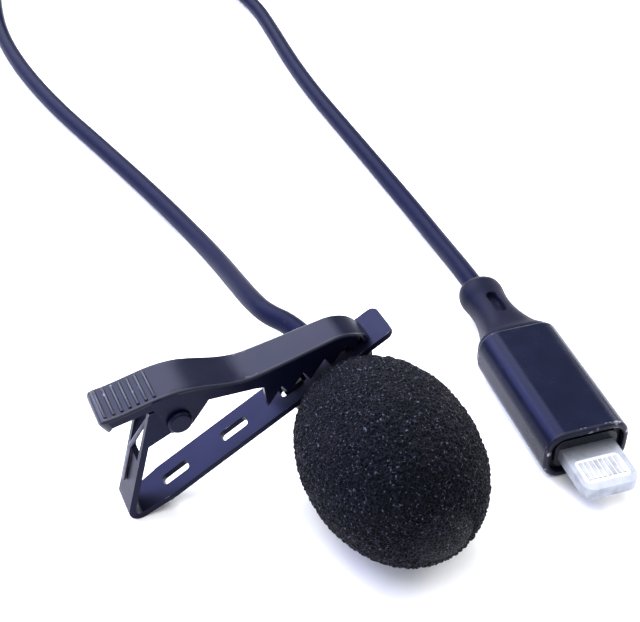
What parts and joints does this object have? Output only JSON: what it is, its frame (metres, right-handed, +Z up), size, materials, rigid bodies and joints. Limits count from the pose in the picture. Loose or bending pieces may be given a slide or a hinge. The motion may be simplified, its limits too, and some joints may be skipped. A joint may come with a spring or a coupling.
{
  "type": "lavalier microphone",
  "caption": "Clip-on lavalier microphone with a foam windscreen, a sprung lapel clip, a thin cable and a flat digital plug.",
  "frame": {"origin": "on the supporting surface, under the middle of the microphone and clip", "axes": "+Z up, -Y the way the microphone faces, +X from the clip's V bend towards its tips"},
  "size_m": [0.0637, 0.2032, 0.0186],
  "materials": {
    "foam": "open-cell acoustic foam, matte, fuzzy",
    "black_metal": "satin black",
    "black_rubber": "matte",
    "bright_metal": "satin",
    "circuit_board": "solder mask",
    "lead_insulation": "insulated wire",
    "black_plastic": "moulded",
    "clip_paint": "satin black lacquer with a violet cast",
    "spring_steel": "blackened spring wire",
    "plug_gloss": "glossy black",
    "tab_metal": "satin nickel",
    "white_insulator": "moulded white",
    "contact_gold": "plated",
    "chip_ceramic": "ceramic",
    "boot_rubber": "soft satin",
    "cable_jacket": "smooth satin jacket"
  },
  "bodies": {
    "microphone": {"capsule_barrel": "black_metal", "mic_grille": "black_metal", "capsule_gasket": "black_rubber", "electret_capsule": "bright_metal", "capsule_board": "circuit_board", "lead_signal": "lead_insulation", "lead_ground": "lead_insulation", "tail_bushing": "black_rubber", "cable_mic_side": "cable_jacket", "cable_plug_side": "cable_jacket", "cable_coil": "cable_jacket", "cable_tie": "black_plastic", "plug_boot": "boot_rubber", "plug_shell": "plug_gloss", "plug_insert": "black_plastic", "tab_frame": "tab_metal", "contact_carrier_top": "white_insulator", "contact_carrier_bottom": "white_insulator", "plug_board": "circuit_board", "converter_chip": "black_plastic", "capacitor_left": "chip_ceramic", "capacitor_right": "chip_ceramic", "board_cradle": "black_plastic", "contact_top_1": "contact_gold", "contact_bottom_1": "contact_gold", "contact_top_2": "contact_gold", "contact_bottom_2": "contact_gold", "contact_top_3": "contact_gold", "contact_bottom_3": "contact_gold", "contact_top_4": "contact_gold", "contact_bottom_4": "contact_gold", "contact_top_5": "contact_gold", "contact_bottom_5": "contact_gold", "contact_top_6": "contact_gold", "contact_bottom_6": "contact_gold", "contact_top_7": "contact_gold", "contact_bottom_7": "contact_gold", "contact_top_8": "contact_gold", "contact_bottom_8": "contact_gold"},
    "windscreen": {"foam_windscreen": "foam"},
    "clip": {"lower_jaw": "clip_paint", "mic_holder": "black_plastic", "hinge_pin": "clip_paint", "torsion_spring": "spring_steel"},
    "thumb_jaw": {"upper_jaw": "clip_paint"}
  },
  "joints": [
    {"name": "clip_swivel", "type": "hinge", "parent": "microphone", "child": "clip", "pos_m": [0.00914, 0.0089, 0.0093], "axis": [0, -1, 0], "range_deg": [-105, 100]},
    {"name": "jaw_hinge", "type": "hinge", "parent": "clip", "child": "thumb_jaw", "pos_m": [-0.01033, 0.0089, 0.01353], "axis": [0, -1, 0], "range_deg": [0, 50], "stiffness_Nm_per_rad": 0.06, "springref_deg": -40.11, "deforming": ["torsion_spring"]},
    {"name": "windscreen_slide", "type": "slide", "parent": "microphone", "child": "windscreen", "axis": [0, -1, 0], "range_m": [0, 0.026]}
  ]
}
